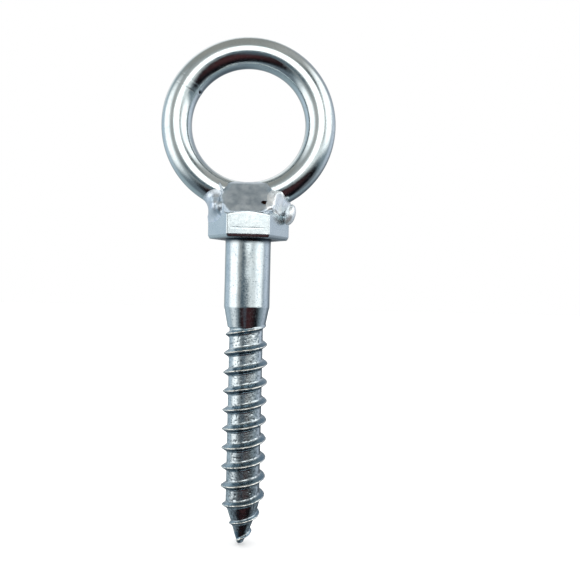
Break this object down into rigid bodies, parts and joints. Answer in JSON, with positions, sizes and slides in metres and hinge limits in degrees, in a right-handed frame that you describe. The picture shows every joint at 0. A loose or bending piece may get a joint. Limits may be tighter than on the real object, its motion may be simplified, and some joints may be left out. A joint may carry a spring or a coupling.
{
  "type": "welded eye bolt with coach screw thread",
  "caption": "Rigid steel eye bolt: a ring of round bar welded onto the hexagon head of a coarse-threaded wood screw, for hanging a hook, rope or shackle from timber.",
  "frame": {"origin": "on the screw's axis, at the centre of the head's bearing face (the underside of the hexagon head)", "axes": "+Z along the screw's axis from its point towards the eye; -Y is the front, where the wider weld pad and a flat of the head show; the ring lies in the XZ plane, so the eye opens along Y"},
  "size_m": [0.0458, 0.0186, 0.1337],
  "materials": {
    "zinc_plated_screw": "bright bluish zinc plating over a forged and rolled surface, pitted in the thread roots",
    "zinc_plated_ring": "bright bluish zinc plating over smooth drawn bar",
    "weld_metal": "zinc-plated weld bead, duller and lumpier than the bar"
  },
  "bodies": {
    "root": {"coach_screw": "zinc_plated_screw", "eye_ring": "zinc_plated_ring", "ring_butt_weld": "zinc_plated_ring", "front_weld": "weld_metal", "rear_weld": "weld_metal", "left_weld": "weld_metal", "right_weld": "weld_metal", "right_lap_bead": "weld_metal"}
  },
  "joints": []
}
